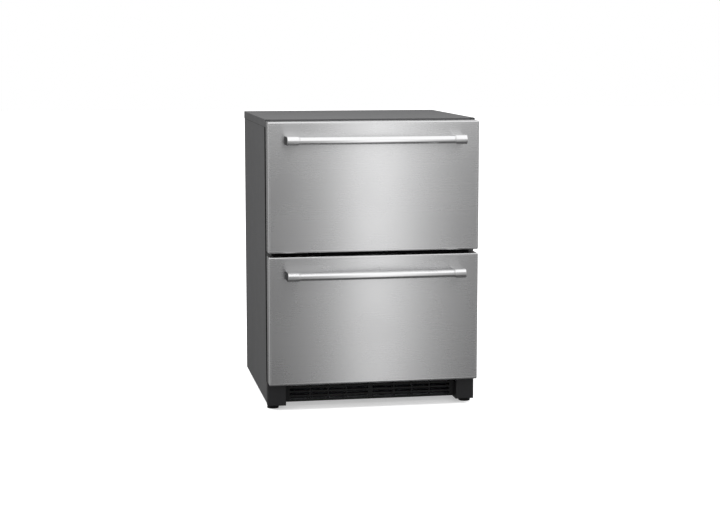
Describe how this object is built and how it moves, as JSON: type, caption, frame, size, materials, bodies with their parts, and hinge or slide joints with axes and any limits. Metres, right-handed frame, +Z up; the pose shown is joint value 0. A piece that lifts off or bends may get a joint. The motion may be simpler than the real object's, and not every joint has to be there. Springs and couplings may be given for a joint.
{
  "type": "undercounter drawer refrigerator",
  "caption": "Undercounter refrigerator with stacked pull-out drawers, brushed fronts, tubular bar handles, a dark cabinet and a slotted toe grille between corner blocks.",
  "frame": {"origin": "floor level, at the centre of the outline seen from above", "axes": "+X to the right as seen from the front, +Y to the back, +Z up"},
  "size_m": [0.606, 0.667, 0.832],
  "materials": {
    "brushed_stainless": "fine brushed grain, satin",
    "handle_stainless": "polished and brushed tube",
    "dark_enamel": "dark grey satin enamel",
    "galvanised_steel": "galvanised sheet",
    "zinc_steel": "zinc-plated steel",
    "black_plastic": "fine-textured black plastic",
    "white_plastic": "white moulded plastic",
    "clear_white_plastic": "milky lamp lens",
    "grey_plastic": "light grey moulded plastic",
    "foam": null,
    "seal_rubber": "soft magnetic door seal",
    "black_rubber": "moulded rubber",
    "fin_aluminium": "bare fins and tubes",
    "black_fins": "black-coated fins and tubes",
    "compressor_black": "gloss black enamel",
    "copper": "drawn copper tube"
  },
  "bodies": {
    "cabinet": {"side_panels": "dark_enamel", "top_cover": "dark_enamel", "back_panel": "galvanised_steel", "rear_access_cover": "galvanised_steel", "base_pan": "galvanised_steel", "compressor_room_wall": "galvanised_steel", "insulation": "foam", "liner": "white_plastic", "face_frame": "dark_enamel", "mullion_bar": "white_plastic", "toe_grille": "black_plastic", "corner_blocks": "black_plastic", "leg_nuts": "zinc_steel", "evaporator_cover": "white_plastic", "evaporator_coil": "fin_aluminium", "drip_tray": "white_plastic", "fan_motors": "black_plastic", "compressor": "compressor_black", "compressor_grommets": "black_rubber", "compressor_relay_box": "black_plastic", "condenser_coil": "black_fins", "condenser_fan_shroud": "black_plastic", "refrigerant_lines": "copper", "condensate_pan": "black_plastic", "power_gland": "black_plastic", "control_housing": "white_plastic", "led_lamp": "clear_white_plastic", "cabinet_slide_rails": "zinc_steel", "cabinet_screws": "zinc_steel"},
    "evaporator_fan": {"evaporator_fan": "grey_plastic"},
    "condenser_fan": {"condenser_fan": "black_plastic"},
    "thermostat_knob": {"thermostat_knob": "grey_plastic"},
    "upper_drawer": {"upper_front_skin": "brushed_stainless", "upper_front_foam": "foam", "upper_front_inner_panel": "white_plastic", "upper_seal": "seal_rubber", "upper_handle_bar": "handle_stainless", "upper_handle_posts": "handle_stainless", "upper_bin": "white_plastic", "upper_drawer_rails": "zinc_steel", "upper_drawer_screws": "zinc_steel"},
    "upper_slide_middle": {"upper_middle_rails": "zinc_steel"},
    "lower_drawer": {"lower_front_skin": "brushed_stainless", "lower_front_foam": "foam", "lower_front_inner_panel": "white_plastic", "lower_seal": "seal_rubber", "lower_handle_bar": "handle_stainless", "lower_handle_posts": "handle_stainless", "lower_bin": "white_plastic", "lower_drawer_rails": "zinc_steel", "lower_drawer_screws": "zinc_steel"},
    "lower_slide_middle": {"lower_middle_rails": "zinc_steel"},
    "foot_front_left": {"foot_pad_front_left": "black_rubber", "foot_stud_front_left": "zinc_steel"},
    "foot_front_right": {"foot_pad_front_right": "black_rubber", "foot_stud_front_right": "zinc_steel"},
    "foot_rear_left": {"foot_pad_rear_left": "black_rubber", "foot_stud_rear_left": "zinc_steel"},
    "foot_rear_right": {"foot_pad_rear_right": "black_rubber", "foot_stud_rear_right": "zinc_steel"}
  },
  "joints": [
    {"name": "evaporator_fan_spin", "type": "hinge", "parent": "cabinet", "child": "evaporator_fan", "pos_m": [0, 0.2465, 0.73], "axis": [0, 1, 0], "continuous": true},
    {"name": "condenser_fan_spin", "type": "hinge", "parent": "cabinet", "child": "condenser_fan", "pos_m": [0.155, 0.1955, 0.1145], "axis": [0, 1, 0], "continuous": true},
    {"name": "thermostat_turn", "type": "hinge", "parent": "cabinet", "child": "thermostat_knob", "pos_m": [-0.05, -0.1955, 0.778], "axis": [0, -1, 0], "range_deg": [0, 270]},
    {"name": "upper_drawer_slide", "type": "slide", "parent": "cabinet", "child": "upper_drawer", "axis": [0, -1, 0], "range_m": [0, 0.42]},
    {"name": "upper_middle_slide", "type": "slide", "parent": "cabinet", "child": "upper_slide_middle", "axis": [0, -1, 0], "range_m": [0, 0.21]},
    {"name": "lower_drawer_slide", "type": "slide", "parent": "cabinet", "child": "lower_drawer", "axis": [0, -1, 0], "range_m": [0, 0.42]},
    {"name": "lower_middle_slide", "type": "slide", "parent": "cabinet", "child": "lower_slide_middle", "axis": [0, -1, 0], "range_m": [0, 0.21]},
    {"name": "foot_travel_front_left", "type": "slide", "parent": "cabinet", "child": "foot_front_left", "axis": [0, 0, 1], "range_m": [-0.02, 0]},
    {"name": "foot_travel_front_right", "type": "slide", "parent": "cabinet", "child": "foot_front_right", "axis": [0, 0, 1], "range_m": [-0.02, 0]},
    {"name": "foot_travel_rear_left", "type": "slide", "parent": "cabinet", "child": "foot_rear_left", "axis": [0, 0, 1], "range_m": [-0.02, 0]},
    {"name": "foot_travel_rear_right", "type": "slide", "parent": "cabinet", "child": "foot_rear_right", "axis": [0, 0, 1], "range_m": [-0.02, 0]}
  ],
  "couplings": [
    {"joint": "upper_middle_slide", "follows": "upper_drawer_slide", "ratio": 0.5},
    {"joint": "lower_middle_slide", "follows": "lower_drawer_slide", "ratio": 0.5}
  ]
}
